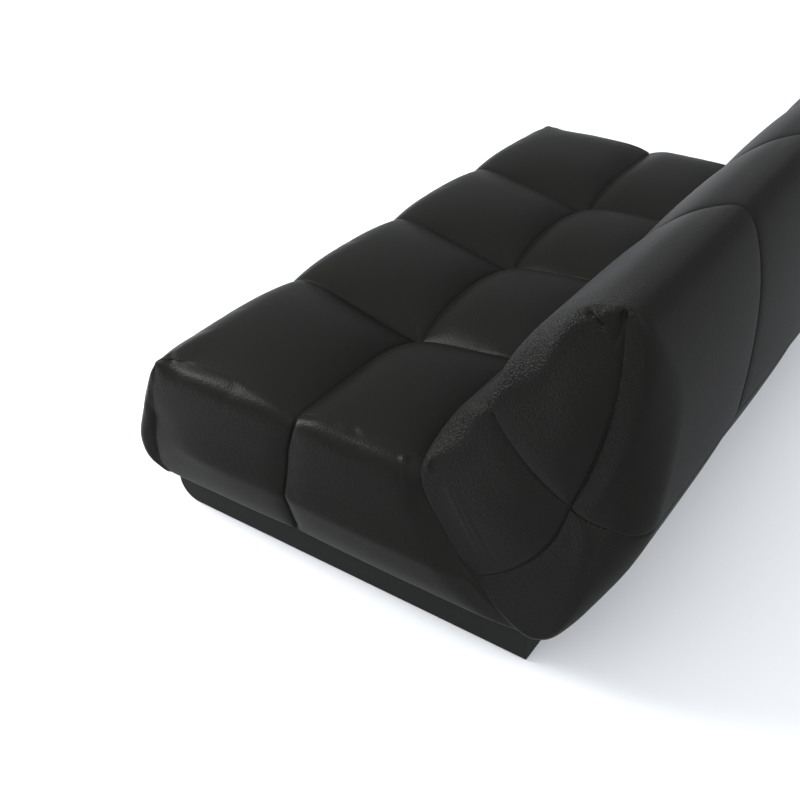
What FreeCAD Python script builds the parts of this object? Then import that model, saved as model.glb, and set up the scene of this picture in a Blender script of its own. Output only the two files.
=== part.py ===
"""Armless tufted leather sofa on a recessed plinth, as an assembly of separate pieces.

Millimetres. +Z is up, X runs along the sofa and the seat faces -Y. The origin is on the floor, at the
middle of the sofa's length and depth. A profile point is a vector whose y is the depth and whose z is
the height. Profiles run from the front over the top to the rear, so their left side faces outwards.
"""
import FreeCAD, Part
import math
import os

Vector = FreeCAD.Vector

# Length along X
COLUMNS = 4
COLUMN_PITCH = 400.0
END_REACH = 34.0
END_SWELL = 14.0
END_TUCK = 22.0
END_FOLD_HEIGHT = 186.0
END_EDGE_HEIGHT = 392.0
END_EDGE_ROUND = 34.0
END_CROWN_SHIFT = 90.0
END_CROWN_RATIO = 1.7

# Seat profile
FRONT_ROW = 334.0
REAR_ROW = 280.0
FRONT_SWELL = 91.0
FRONT_SWELL_HEIGHT = 180.0
FRONT_TUCK = 60.0
FRONT_EDGE_HEIGHT = 392.0
ROW_SEAM_HEIGHT = 345.0
FRONT_ROW_CROWN = 46.0
REAR_ROW_CROWN = 42.0
SEAT_CROWN_RADIUS = 900.0
FRONT_CORNER_ROUND = 70.0

# Back profile, measured from the front junction of seat and back
JUNCTION_HEIGHT = 381.0
KNEE_BACK = 10.0
KNEE_DOWN = 51.0
SLANT_ANGLE = 50.0
TOE_OVERHANG = 41.0
CREASE_BACK = 136.0
CREASE_UP = 185.0
RIDGE_BACK = 332.0
RIDGE_UP = 409.0
REAR_SEAM_BACK = 403.0
REAR_SEAM_UP = 24.0
CENTRE_BACK = 277.0
CENTRE_UP = 45.0
SEAM_FOOT_HEIGHT = 208.0
LOWER_SWELL = 30.0
UPPER_SWELL = 52.0
REAR_UPPER_SWELL = 38.0
REAR_LOWER_SWELL = 20.0
CREASE_SEAM_BOW = 18.0
RIDGE_SEAM_BOW = 12.0
FOOT_SEAM_BOW = 26.0
BACK_CROWN_RADIUS = 2400.0
REAR_CROWN_RADIUS = 3000.0
BACK_END_ROUND = 28.0

# Skin and padding
LEATHER = 3.0
LINING = 3.0
CORE_TOP = 300.0
END_PADDING = 49.0
FRONT_PADDING = 80.0
JUNCTION_PADDING = 95.0
CREASE_PADDING = 78.0
TOP_PADDING = 66.0
REAR_PADDING = 42.0
BASE_PADDING = 48.0

# Plinth
PLINTH_TOP = 110.0
PLINTH_FRONT_RECESS = 54.0
PLINTH_REAR_REACH = 14.0
PLINTH_ROUND = 49.0
PLINTH_FRONT_THICKNESS = 85.0
PLINTH_REAR_THICKNESS = 45.0
BOARD = 22.0
CROSS_BOARD_CLEARANCE = 30.0
BLOCK_SIDE = 45.0
BLOCK_HEIGHT = 70.0
DUST_COVER = 1.2
GLIDE_HEIGHT = 4.0
GLIDE_RADIUS = 10.0
GLIDE_PIN_RADIUS = 1.5
GLIDE_PIN_LENGTH = 14.0
GLIDES_PER_RAIL = 4
GLIDE_END_INSET = 45.0

# Seat frame and suspension
RAIL_HEIGHT = 105.0
CROSS_RAIL_DROP = 20.0
SLANT_BOARD = 18.0
STRAP_WIDTH = 60.0
STRAP_THICKNESS = 2.0
LONG_STRAPS = 14
CROSS_STRAPS = 5

# Back frame
RIB = 18.0
RAIL_WIDTH = 24.0
RAIL_DEPTH = 42.0
RAIL_INSET = 40.0
MORTISE_CLEARANCE = 0.2
BACK_SHEET = 3.0
BACK_SHEET_MARGIN = 6.0
BACK_STRAP_WIDTH = 50.0
LOWER_STRAPS = 2
UPPER_STRAPS = 3
MOUNT_BOARD_TOP_INSET = 30.0
MOUNT_BOARD_BASE_INSET = 45.0

# Bolts
BOLT_RADIUS = 4.0
BOLT_HEAD_RADIUS = 8.0
BOLT_HEAD_HEIGHT = 5.0
BOLT_CLEARANCE = 0.4
BOLT_HEIGHT = 180.0
NUT_RADIUS = 11.0
NUT_HEIGHT = 6.0
FRAME_BOLT_GRIP = 50.0

# How far a cutting shape runs past the piece that it cuts, and a swell's arc past its chord as a ratio
OVERRUN = 150.0
ARC_OVERRUN = 1.25

# How far a trimming shape stays clear of the faces that it doesn't cut
TRIM_CLEARANCE = 1.0


def point(depth, height):
    return Vector(0, depth, height)


def unit(vector):
    return Vector(vector).normalize()


def left_of(direction):
    return Vector(0, -direction.z, direction.y)


def swell_circle(start, end, swell):
    """Centre and radius of the arc that stands out from a chord by the swell."""
    chord = end - start
    half = chord.Length / 2
    radius = (half ** 2 + swell ** 2) / (2 * swell)
    return start + chord * 0.5 + left_of(unit(chord)) * (swell - radius), radius


def past_end(hub, start, end):
    """Place past the end of an arc, on the same circle about the hub."""
    spoke = end - hub
    turn = math.copysign(OVERRUN / spoke.Length, (start - hub).cross(spoke).x)
    return hub + point(spoke.y * math.cos(turn) - spoke.z * math.sin(turn),
                       spoke.y * math.sin(turn) + spoke.z * math.cos(turn))


def bow_point(start, end, bow):
    """Middle of the arc that stands out to the left of a chord by the bow."""
    return start + (end - start) * 0.5 + left_of(unit(end - start)) * bow


# Profile points in the sofa's frame
rear_hub, rear_radius = swell_circle(
    point(RIDGE_BACK, RIDGE_UP), point(REAR_SEAM_BACK, REAR_SEAM_UP), REAR_UPPER_SWELL)
DEPTH = FRONT_SWELL + FRONT_ROW + REAR_ROW + rear_hub.y + rear_radius
FRONT = -DEPTH / 2
END = COLUMNS / 2 * COLUMN_PITCH + END_REACH
FRAME_END = END - END_PADDING

front_edge = point(FRONT + FRONT_SWELL, FRONT_EDGE_HEIGHT)
row_seam = point(front_edge.y + FRONT_ROW, ROW_SEAM_HEIGHT)
junction = point(row_seam.y + REAR_ROW, JUNCTION_HEIGHT)
knee = junction + point(KNEE_BACK, -KNEE_DOWN)
crease = junction + point(CREASE_BACK, CREASE_UP)
ridge = junction + point(RIDGE_BACK, RIDGE_UP)
rear_seam = junction + point(REAR_SEAM_BACK, REAR_SEAM_UP)
centre = junction + point(CENTRE_BACK, CENTRE_UP)

# The slanted plane where the back rests against the seat
slant = point(math.cos(math.radians(SLANT_ANGLE)), -math.sin(math.radians(SLANT_ANGLE)))
slant_normal = left_of(slant)


def on_slant(height, offset=0.0):
    """Point at a height on the plane that lies offset behind the slanted plane."""
    start = knee + slant_normal * offset
    return start + slant * ((start.z - height) / -slant.z)


heel = on_slant(PLINTH_TOP)
seam_foot = on_slant(SEAM_FOOT_HEIGHT)
toe = heel + point(TOE_OVERHANG, 0)

# Frame levels
PLINTH_FRONT = FRONT + PLINTH_FRONT_RECESS
PLINTH_REAR = heel.y + PLINTH_REAR_REACH
PLINTH_INNER_FRONT = PLINTH_FRONT + PLINTH_FRONT_THICKNESS
PLINTH_INNER_REAR = PLINTH_REAR - PLINTH_REAR_THICKNESS
DUST_COVER_BASE = PLINTH_TOP - DUST_COVER
SEAT_FRAME_FRONT = FRONT + FRONT_PADDING
RAIL_TOP = PLINTH_TOP + RAIL_HEIGHT
CROSS_STRAP_BASE = RAIL_TOP + STRAP_THICKNESS
CORE_BASE = CROSS_STRAP_BASE + STRAP_THICKNESS
BLOCK_TOP = PLINTH_TOP + BLOCK_HEIGHT
FRAME_INSIDE = FRAME_END - BOARD
SEAT_SIDE = -LINING - SLANT_BOARD

# Core of the back, which its foam leaves free
junction_in = junction + unit(centre - junction) * JUNCTION_PADDING
crease_in = crease + unit(centre - crease) * CREASE_PADDING
rear_in = rear_seam + unit(centre - rear_seam) * REAR_PADDING
top_in = ridge + unit(centre - ridge) * TOP_PADDING
top_front = top_in - point(RAIL_DEPTH / 2, 0)
top_rear = top_in + point(RAIL_DEPTH / 2, 0)
base_in = toe + point(0, BASE_PADDING)
board_top = knee + slant * MOUNT_BOARD_TOP_INSET + slant_normal * LINING
board_base = heel - slant * MOUNT_BOARD_BASE_INSET + slant_normal * LINING
board_thickness = slant_normal * SLANT_BOARD


def outline(start, *steps):
    """Closed profile face: a step is a point to go to, or a pair with a point that the arc passes."""
    edges = []
    last = start
    for step in steps:
        if isinstance(step, tuple):
            through, end = step
            edges.append(Part.Arc(last, through, end).toShape())
        else:
            end = step
            edges.append(Part.LineSegment(last, end).toShape())
        last = end
    if last != start:
        edges.append(Part.LineSegment(last, start).toShape())
    return Part.Face(Part.Wire(edges))


def prism(face, x_low, x_high):
    moved = face.translated(Vector(x_low, 0, 0))
    return moved.extrude(Vector(x_high - x_low, 0, 0))


def box(x_low, x_high, y_low, y_high, z_low, z_high):
    size = Vector(x_high - x_low, y_high - y_low, z_high - z_low)
    return Part.makeBox(size.x, size.y, size.z, Vector(x_low, y_low, z_low))


def mirrored(shape):
    return shape.mirror(Vector(0, 0, 0), Vector(1, 0, 0))


def spread(count, low, high):
    """Evenly spaced places from low to high."""
    return [low + (high - low) * index / (count - 1) for index in range(count)]


def export(name, shape):
    shape.exportStep("parts/%s.step" % name)


def export_group(name, shapes):
    export(name, Part.makeCompound(shapes))


def bulge(run, rise):
    """Offset to the middle of an arc that starts upright and turns inwards by run over rise."""
    radius = (run ** 2 + rise ** 2) / (2 * run)
    half_turn = math.atan2(rise, radius - run) / 2
    return radius * (1 - math.cos(half_turn)), radius * math.sin(half_turn)


def barrel(start, end, swell, crown_radius, x_middle, skin):
    """Solid whose surface swells along a profile chord and is crowned across it."""
    hub, radius = swell_circle(start, end, swell)
    along = unit(end - start)
    out = left_of(along)
    turn = math.asin((end - start).Length / 2 / radius) * ARC_OVERRUN
    radius_in = radius - skin
    first = hub + out * (radius_in * math.cos(turn)) - along * (radius_in * math.sin(turn))
    last = hub + out * (radius_in * math.cos(turn)) + along * (radius_in * math.sin(turn))
    apex = hub + out * radius_in
    axis = hub + out * (radius - crown_radius)
    depth = out * (first - axis).dot(out)
    first_out = first - along * OVERRUN
    last_out = last + along * OVERRUN
    section = outline(first_out - depth, first_out, first, (apex, last), last_out, last_out - depth)
    across = Vector(x_middle, 0, 0)
    far_side = section.translated(across).rotated(axis + across, along, 180)
    return far_side.revolve(axis + across, along, 360)


def is_end(column):
    return column in (0, COLUMNS - 1)


def column_span(column):
    """Ends of a column of biscuits along X, the place of its crown, and how flat the crown is."""
    low = (column - COLUMNS / 2) * COLUMN_PITCH
    high = low + COLUMN_PITCH
    middle = (low + high) / 2
    if column == 0:
        return low - OVERRUN, high, middle - END_CROWN_SHIFT, END_CROWN_RATIO
    if column == COLUMNS - 1:
        return low, high + OVERRUN, middle + END_CROWN_SHIFT, END_CROWN_RATIO
    return low, high, middle, 1.0


def inner_seams():
    return [(seam - COLUMNS / 2) * COLUMN_PITCH for seam in range(1, COLUMNS)]


def seat_end_trim(skin):
    """Outline of the seat seen from the front, run along the depth of the sofa."""
    fold = END + END_SWELL - skin
    shoulder = END_EDGE_HEIGHT - END_EDGE_ROUND - skin
    low_in, low_up = bulge(END_TUCK, PLINTH_TOP - END_FOLD_HEIGHT)
    high_in, high_up = bulge(END_SWELL, shoulder - END_FOLD_HEIGHT)
    corner = END_EDGE_ROUND * math.sqrt(0.5)
    edge = END - skin - END_EDGE_ROUND
    y_low = FRONT - OVERRUN

    def at(side, x, z):
        return Vector(side * x, y_low, z)

    def end_points(side):
        base = at(side, fold - END_TUCK, PLINTH_TOP)
        low = at(side, fold - low_in, END_FOLD_HEIGHT + low_up)
        apex = at(side, fold, END_FOLD_HEIGHT)
        high = at(side, fold - high_in, END_FOLD_HEIGHT + high_up)
        end = at(side, END - skin, shoulder)
        corner_point = at(side, edge + corner, shoulder + corner)
        top = at(side, edge, shoulder + END_EDGE_ROUND)
        return base, low, apex, high, end, corner_point, top

    base, low, apex, high, end, corner_point, top = end_points(1)
    base_l, low_l, apex_l, high_l, end_l, corner_l, top_l = end_points(-1)
    roof = at(0, 0, END_EDGE_HEIGHT + OVERRUN)
    face = outline(base, (low, apex), (high, end), (corner_point, top), roof, top_l,
                   (corner_l, end_l), (high_l, apex_l), (low_l, base_l))
    return face.extrude(Vector(0, DEPTH + 2 * OVERRUN, 0))


def seat_plan_trim(skin):
    """Outline of the seat seen from above, clear of its sides, with its front corners rounded."""
    side = END + END_SWELL + TRIM_CLEARANCE - skin
    front = FRONT - TRIM_CLEARANCE + skin
    inset = FRONT_CORNER_ROUND * (1 - math.sqrt(0.5))

    def at(x, y):
        return Vector(x, y, 0)

    face = outline(at(FRONT_CORNER_ROUND - side, front), at(side - FRONT_CORNER_ROUND, front),
                   (at(side - inset, front + inset), at(side, front + FRONT_CORNER_ROUND)),
                   at(side, DEPTH), at(-side, DEPTH), at(-side, front + FRONT_CORNER_ROUND),
                   (at(inset - side, front + inset), at(FRONT_CORNER_ROUND - side, front)))
    return face.extrude(Vector(0, 0, END_EDGE_HEIGHT + 2 * OVERRUN))


def seat_front_sector(skin):
    apex = point(FRONT + skin, FRONT_SWELL_HEIGHT)
    base = point(apex.y + FRONT_TUCK, PLINTH_TOP)
    edge = front_edge + point(skin, 0)
    top = FRONT_EDGE_HEIGHT + OVERRUN
    low = apex + point(*bulge(base.y - apex.y, base.z - apex.z))
    rise = edge - apex
    high_hub = apex + point((rise.y ** 2 + rise.z ** 2) / (2 * rise.y), 0)
    past_edge = past_end(high_hub, apex, edge)
    return outline(base, (low, apex), (edge, past_edge), point(past_edge.y, top), point(row_seam.y, top),
                   point(row_seam.y, PLINTH_TOP))


def seat_rear_sector(skin):
    above = junction + unit(junction - knee) * OVERRUN
    return outline(point(row_seam.y, PLINTH_TOP), heel, knee, above, point(row_seam.y, above.z))


SEAT_ROWS = {
    "front": (front_edge, row_seam, FRONT_ROW_CROWN, seat_front_sector),
    "rear": (row_seam, junction, REAR_ROW_CROWN, seat_rear_sector),
}


def seat_biscuit(row, column, skin):
    start, end, crown, sector = SEAT_ROWS[row]
    x_low, x_high, x_middle, flatness = column_span(column)
    biscuit = prism(sector(skin), x_low, x_high)
    biscuit = biscuit.common(barrel(start, end, crown, SEAT_CROWN_RADIUS * flatness, x_middle, skin))
    if is_end(column):
        biscuit = biscuit.common(seat_end_trim(skin)).common(seat_plan_trim(skin))
    return biscuit


def back_sectors():
    """The four parts of the back's end face, divided by its curved seams."""
    crease_hub, _ = swell_circle(crease, centre, -CREASE_SEAM_BOW)
    ridge_hub, _ = swell_circle(ridge, centre, RIDGE_SEAM_BOW)
    foot_bow = bow_point(centre, seam_foot, FOOT_SEAM_BOW)
    crease_out = past_end(crease_hub, centre, crease)
    ridge_out = past_end(ridge_hub, centre, ridge)
    rear_out = rear_seam + unit(rear_seam - centre) * OVERRUN
    above = junction + unit(junction - knee) * OVERRUN
    lower = outline(centre, (crease, crease_out), point(above.y, crease_out.z), above, knee, seam_foot,
                    (foot_bow, centre))
    upper = outline(centre, (ridge, ridge_out), point(crease_out.y, ridge_out.z), crease_out,
                    (crease, centre))
    rear_upper = outline(centre, rear_out, point(rear_out.y, ridge_out.z), ridge_out, (ridge, centre))
    rear_lower = outline(centre, (foot_bow, seam_foot), heel, point(rear_out.y, PLINTH_TOP), rear_out)
    return lower, upper, rear_upper, rear_lower


lower_sector, upper_sector, rear_upper_sector, rear_lower_sector = back_sectors()
BACK_ROWS = {
    "back_panel_lower": (junction, crease, LOWER_SWELL, BACK_CROWN_RADIUS, lower_sector),
    "back_panel_upper": (crease, ridge, UPPER_SWELL, BACK_CROWN_RADIUS, upper_sector),
    "rear_panel_upper": (ridge, rear_seam, REAR_UPPER_SWELL, REAR_CROWN_RADIUS, rear_upper_sector),
    "rear_panel_lower": (rear_seam, toe, REAR_LOWER_SWELL, REAR_CROWN_RADIUS, rear_lower_sector),
}
BACK_FOAMS = {
    "back_panel_lower": "back_foam_lower",
    "back_panel_upper": "back_foam_upper",
    "rear_panel_upper": "rear_foam_upper",
    "rear_panel_lower": "rear_foam_lower",
}


def back_profile(scale):
    """Outer wire of the back's profile, scaled about its end face's middle except along the seat."""
    def at(profile_point):
        return centre + (profile_point - centre) * scale

    def arc(start, end, swell):
        return at(bow_point(start, end, swell)), at(end)

    below = slant_normal * -BACK_END_ROUND
    face = outline(junction + below, arc(junction, crease, LOWER_SWELL), arc(crease, ridge, UPPER_SWELL),
                   arc(ridge, rear_seam, REAR_UPPER_SWELL), arc(rear_seam, toe, REAR_LOWER_SWELL),
                   heel + below, knee + below)
    return face.OuterWire


def back_end_trim(skin):
    """The back's profile run along the sofa, with its two ends rounded over."""
    end = END - skin
    reach = (ridge - centre).Length
    sections = []
    for turn in (math.pi / 2, math.pi / 4, 0):
        inset = BACK_END_ROUND * (1 - math.cos(turn))
        x = end - BACK_END_ROUND * (1 - math.sin(turn))
        sections.append((x, 1 + (TRIM_CLEARANCE - inset) / reach))
    left = [back_profile(scale).translated(Vector(-x, 0, 0)) for x, scale in sections]
    right = [back_profile(scale).translated(Vector(x, 0, 0)) for x, scale in reversed(sections)]
    return Part.makeLoft(left + right, True, True)


def back_biscuit(row, column, skin):
    start, end, swell, crown_radius, sector = BACK_ROWS[row]
    x_low, x_high, x_middle, flatness = column_span(column)
    biscuit = prism(sector, x_low, x_high)
    biscuit = biscuit.common(barrel(start, end, swell, crown_radius * flatness, x_middle, skin))
    if is_end(column):
        biscuit = biscuit.common(back_end_trim(skin))
    return biscuit


def plinth_profile(rear):
    """Upright board with a rounded lower front edge."""
    top_front_corner = point(PLINTH_FRONT, PLINTH_TOP)
    round_top = point(PLINTH_FRONT, GLIDE_HEIGHT + PLINTH_ROUND)
    round_base = point(PLINTH_FRONT + PLINTH_ROUND, GLIDE_HEIGHT)
    diagonal = PLINTH_ROUND * (1 - math.sqrt(0.5))
    round_middle = point(PLINTH_FRONT + diagonal, GLIDE_HEIGHT + diagonal)
    return outline(top_front_corner, round_top, (round_middle, round_base),
                   point(rear, GLIDE_HEIGHT), point(rear, PLINTH_TOP))


def glide_places():
    front_y = PLINTH_FRONT + (PLINTH_ROUND + PLINTH_FRONT_THICKNESS) / 2
    rear_y = PLINTH_REAR - PLINTH_REAR_THICKNESS / 2
    last = FRAME_INSIDE - GLIDE_END_INSET
    return [(x, y) for y in (front_y, rear_y) for x in spread(GLIDES_PER_RAIL, -last, last)]


def glide_pins():
    return [Part.makeCylinder(GLIDE_PIN_RADIUS, GLIDE_PIN_LENGTH, Vector(x, y, GLIDE_HEIGHT))
            for x, y in glide_places()]


def block_places():
    """Low corners of the four corner blocks."""
    front_y = PLINTH_INNER_FRONT
    rear_y = on_slant(BLOCK_TOP, SEAT_SIDE).y - BLOCK_SIDE
    return [(x, y) for y in (front_y, rear_y) for x in (-FRAME_INSIDE, FRAME_INSIDE - BLOCK_SIDE)]


def frame_bolt_holes(radius):
    low = DUST_COVER_BASE - BLOCK_HEIGHT
    length = BLOCK_HEIGHT + DUST_COVER + FRAME_BOLT_GRIP
    half = BLOCK_SIDE / 2
    return [Part.makeCylinder(radius, length, Vector(x + half, y + half, low)) for x, y in block_places()]


def build_plinth():
    pins = glide_pins()
    front = prism(plinth_profile(PLINTH_INNER_FRONT), -FRAME_INSIDE, FRAME_INSIDE)
    export("plinth_front_rail", front.cut(pins))
    rear = box(-FRAME_INSIDE, FRAME_INSIDE, PLINTH_INNER_REAR, PLINTH_REAR, GLIDE_HEIGHT, PLINTH_TOP)
    export("plinth_rear_rail", rear.cut(pins))
    end = prism(plinth_profile(PLINTH_REAR), FRAME_INSIDE, FRAME_END)
    export("plinth_end_board_right", end)
    export("plinth_end_board_left", mirrored(end))
    export_group("plinth_cross_boards", [
        box(x - BOARD / 2, x + BOARD / 2, PLINTH_INNER_FRONT, PLINTH_INNER_REAR,
            CROSS_BOARD_CLEARANCE, DUST_COVER_BASE) for x in inner_seams()])
    clearance_holes = frame_bolt_holes(BOLT_RADIUS + BOLT_CLEARANCE)
    export_group("plinth_corner_blocks", [
        box(x, x + BLOCK_SIDE, y, y + BLOCK_SIDE, DUST_COVER_BASE - BLOCK_HEIGHT, DUST_COVER_BASE)
        .cut(clearance_holes) for x, y in block_places()])
    cover = box(-FRAME_INSIDE, FRAME_INSIDE, PLINTH_INNER_FRONT, PLINTH_INNER_REAR,
                DUST_COVER_BASE, PLINTH_TOP)
    export("dust_cover", cover.cut(clearance_holes))
    discs = [Part.makeCylinder(GLIDE_RADIUS, GLIDE_HEIGHT, Vector(x, y, 0)) for x, y in glide_places()]
    export_group("glides", [disc.fuse(pin).removeSplitter() for disc, pin in zip(discs, pins)])


def build_seat_frame():
    holes = back_bolt_shanks(BOLT_RADIUS + BOLT_CLEARANCE)
    front_inside = SEAT_FRAME_FRONT + BOARD
    export("seat_front_rail", box(-FRAME_INSIDE, FRAME_INSIDE, SEAT_FRAME_FRONT, front_inside,
                                  PLINTH_TOP, RAIL_TOP))
    end = outline(point(SEAT_FRAME_FRONT, PLINTH_TOP), point(SEAT_FRAME_FRONT, CROSS_STRAP_BASE),
                  on_slant(CROSS_STRAP_BASE, -LINING), on_slant(PLINTH_TOP, -LINING))
    end_rail = prism(end, FRAME_INSIDE, FRAME_END)
    export("seat_end_rail_right", end_rail)
    export("seat_end_rail_left", mirrored(end_rail))
    board = outline(on_slant(PLINTH_TOP, SEAT_SIDE), on_slant(RAIL_TOP, SEAT_SIDE),
                    on_slant(RAIL_TOP, -LINING), on_slant(PLINTH_TOP, -LINING))
    export("seat_rear_board", prism(board, -FRAME_INSIDE, FRAME_INSIDE).cut(holes))
    cross_top = RAIL_TOP - CROSS_RAIL_DROP
    cross = outline(point(front_inside, PLINTH_TOP), point(front_inside, cross_top),
                    on_slant(cross_top, SEAT_SIDE), on_slant(PLINTH_TOP, SEAT_SIDE))
    export_group("seat_cross_rails", [prism(cross, x - BOARD / 2, x + BOARD / 2) for x in inner_seams()])
    threads = frame_bolt_holes(BOLT_RADIUS)
    export_group("seat_corner_blocks", [
        box(x, x + BLOCK_SIDE, y, y + BLOCK_SIDE, PLINTH_TOP, BLOCK_TOP)
        .cut(threads) for x, y in block_places()])
    head_base = Vector(0, 0, -BOLT_HEAD_HEIGHT)
    export_group("frame_bolts", [
        shank.fuse(Part.makeCylinder(BOLT_HEAD_RADIUS, BOLT_HEAD_HEIGHT, shank_base(shank) + head_base))
        .removeSplitter() for shank in threads])


def shank_base(shank):
    limits = shank.BoundBox
    return Vector(limits.Center.x, limits.Center.y, limits.ZMin)


def build_seat_suspension():
    rear_y = on_slant(CROSS_STRAP_BASE, -LINING).y
    last_x = FRAME_INSIDE - STRAP_WIDTH / 2
    export_group("seat_webbing_long", [
        box(x - STRAP_WIDTH / 2, x + STRAP_WIDTH / 2, SEAT_FRAME_FRONT, rear_y, RAIL_TOP, CROSS_STRAP_BASE)
        for x in spread(LONG_STRAPS, -last_x, last_x)])
    first_y = SEAT_FRAME_FRONT + BOARD + STRAP_WIDTH
    last_y = on_slant(CORE_BASE, SEAT_SIDE).y - STRAP_WIDTH
    export_group("seat_webbing_cross", [
        box(-FRAME_END, FRAME_END, y - STRAP_WIDTH / 2, y + STRAP_WIDTH / 2, CROSS_STRAP_BASE, CORE_BASE)
        for y in spread(CROSS_STRAPS, first_y, last_y)])


def build_seat_padding():
    front_base = point(SEAT_FRAME_FRONT, CORE_BASE)
    core = outline(front_base, point(SEAT_FRAME_FRONT, CORE_TOP),
                   on_slant(CORE_TOP, -LINING), on_slant(CORE_BASE, -LINING))
    export("seat_core_foam", prism(core, -FRAME_END, FRAME_END))
    inside = seat_end_trim(LEATHER).common(seat_plan_trim(LEATHER))
    ahead = box(-END - OVERRUN, END + OVERRUN, FRONT - OVERRUN, SEAT_FRAME_FRONT, PLINTH_TOP, CORE_TOP)
    front_body = prism(seat_front_sector(LEATHER), -END - OVERRUN, END + OVERRUN)
    export("seat_front_border_foam", front_body.common(ahead).common(inside))
    side = outline(point(SEAT_FRAME_FRONT, PLINTH_TOP), point(SEAT_FRAME_FRONT, CORE_TOP),
                   on_slant(CORE_TOP, -LINING), on_slant(PLINTH_TOP, -LINING))
    border = prism(side, FRAME_END, END + OVERRUN).common(inside)
    export_group("seat_end_border_foam", [border, mirrored(border)])


def build_seat_cover():
    above_core = box(-END - OVERRUN, END + OVERRUN, FRONT - OVERRUN, heel.y, CORE_TOP, CORE_TOP + 2 * OVERRUN)
    pads = []
    for row in SEAT_ROWS:
        for column in range(COLUMNS):
            inner = seat_biscuit(row, column, LEATHER)
            export("seat_panel_%s_%d" % (row, column + 1), seat_biscuit(row, column, 0.0).cut(inner))
            pads.append(inner.common(above_core))
    export_group("seat_foam_pads", pads)


def core_face():
    """Space inside the back's foam, as far as the back of its mounting board."""
    step = slant_normal * (SLANT_BOARD - BACK_SHEET)
    return outline(board_top + step, junction_in, crease_in, top_front, top_rear, rear_in, base_in,
                   board_base + step)


def mount_board():
    face = outline(board_top, board_base, board_base + board_thickness, board_top + board_thickness)
    return prism(face, -FRAME_END, FRAME_END)


def back_rails():
    """Rails along the back, each set in from a corner of the core towards its middle."""
    rails = {}
    corners = {"back_front_rail": junction_in, "back_crease_rail": crease_in,
               "back_top_rail": top_in, "back_rear_rail": rear_in}
    for name, corner in corners.items():
        middle = corner + unit(centre - corner) * RAIL_INSET
        rails[name] = (middle.y, middle.z)
    return rails


def rail_box(place, clearance):
    y, z = place
    half_width = RAIL_WIDTH / 2 + clearance
    half_depth = RAIL_DEPTH / 2 + clearance
    return box(-FRAME_END, FRAME_END, y - half_width, y + half_width, z - half_depth, z + half_depth)


def sheet_on(start, end, near, far):
    """Thin sheet let in along a side of the core, between two distances from its first corner."""
    along = unit(end - start)
    inwards = left_of(along) * -BACK_SHEET
    face = outline(start + along * near, start + along * far,
                   start + along * far + inwards, start + along * near + inwards)
    return prism(face, -FRAME_END, FRAME_END)


def strap_row(start, end, count):
    length = (end - start).Length
    half = BACK_STRAP_WIDTH / 2
    places = [length * (index + 0.5) / count for index in range(count)]
    return [sheet_on(start, end, place - half, place + half) for place in places]


def build_back_frame():
    holes = back_bolt_shanks(BOLT_RADIUS + BOLT_CLEARANCE)
    export("back_mount_board", mount_board().cut(holes))
    rails = back_rails()
    for name, place in rails.items():
        export(name, rail_box(place, 0.0))
    rib_face = core_face().makeOffset2D(-BACK_SHEET, 2)
    mortises = [rail_box(place, MORTISE_CLEARANCE) for place in rails.values()]
    last = FRAME_END - RIB / 2
    export_group("back_ribs", [
        prism(rib_face, x - RIB / 2, x + RIB / 2).cut(mortises) for x in [-last] + inner_seams() + [last]])
    rear_length = (rear_in - top_rear).Length
    base_length = (base_in - rear_in).Length
    margin = BACK_SHEET_MARGIN
    export("rear_board_upper", sheet_on(top_rear, rear_in, margin, rear_length - margin))
    export("rear_board_lower", sheet_on(rear_in, base_in, margin, base_length - margin))
    export_group("back_webbing", strap_row(junction_in, crease_in, LOWER_STRAPS)
                 + strap_row(crease_in, top_front, UPPER_STRAPS))


def build_back_cover():
    hard_pieces = [prism(core_face(), -FRAME_END, FRAME_END), mount_board()]
    hard_pieces += back_bolt_shanks(BOLT_RADIUS + BOLT_CLEARANCE)
    for row in BACK_ROWS:
        pads = []
        for column in range(COLUMNS):
            inner = back_biscuit(row, column, LEATHER)
            export("%s_%d" % (row, column + 1), back_biscuit(row, column, 0.0).cut(inner))
            pads.append(inner.cut(hard_pieces))
        export_group(BACK_FOAMS[row], pads)


def back_bolt_places():
    base = on_slant(BOLT_HEIGHT)
    middles = [(column + 0.5 - COLUMNS / 2) * COLUMN_PITCH for column in range(COLUMNS)]
    quarter = COLUMN_PITCH / 4
    return [base + Vector(x + step, 0, 0) for x in middles for step in (-quarter, quarter)]


def back_bolt_shanks(radius):
    start = slant_normal * (-LINING - SLANT_BOARD)
    length = 2 * (LINING + SLANT_BOARD) + NUT_HEIGHT
    return [Part.makeCylinder(radius, length, place + start, slant_normal) for place in back_bolt_places()]


def build_back_bolts():
    shanks = back_bolt_shanks(BOLT_RADIUS)
    head_start = slant_normal * (-LINING - SLANT_BOARD - BOLT_HEAD_HEIGHT)
    nut_start = slant_normal * (LINING + SLANT_BOARD)
    bolts = []
    nuts = []
    for place, shank in zip(back_bolt_places(), shanks):
        head = Part.makeCylinder(BOLT_HEAD_RADIUS, BOLT_HEAD_HEIGHT, place + head_start, slant_normal)
        bolts.append(shank.fuse(head).removeSplitter())
        nuts.append(Part.makeCylinder(NUT_RADIUS, NUT_HEIGHT, place + nut_start, slant_normal).cut(shank))
    export_group("back_bolts", bolts)
    export_group("back_nuts", nuts)


os.makedirs("parts", exist_ok=True)
build_plinth()
build_seat_frame()
build_seat_suspension()
build_seat_padding()
build_seat_cover()
build_back_frame()
build_back_cover()
build_back_bolts()
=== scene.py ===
import math
from functools import partial

import bpy
import numpy as np
from mathutils import Matrix, Vector


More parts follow.
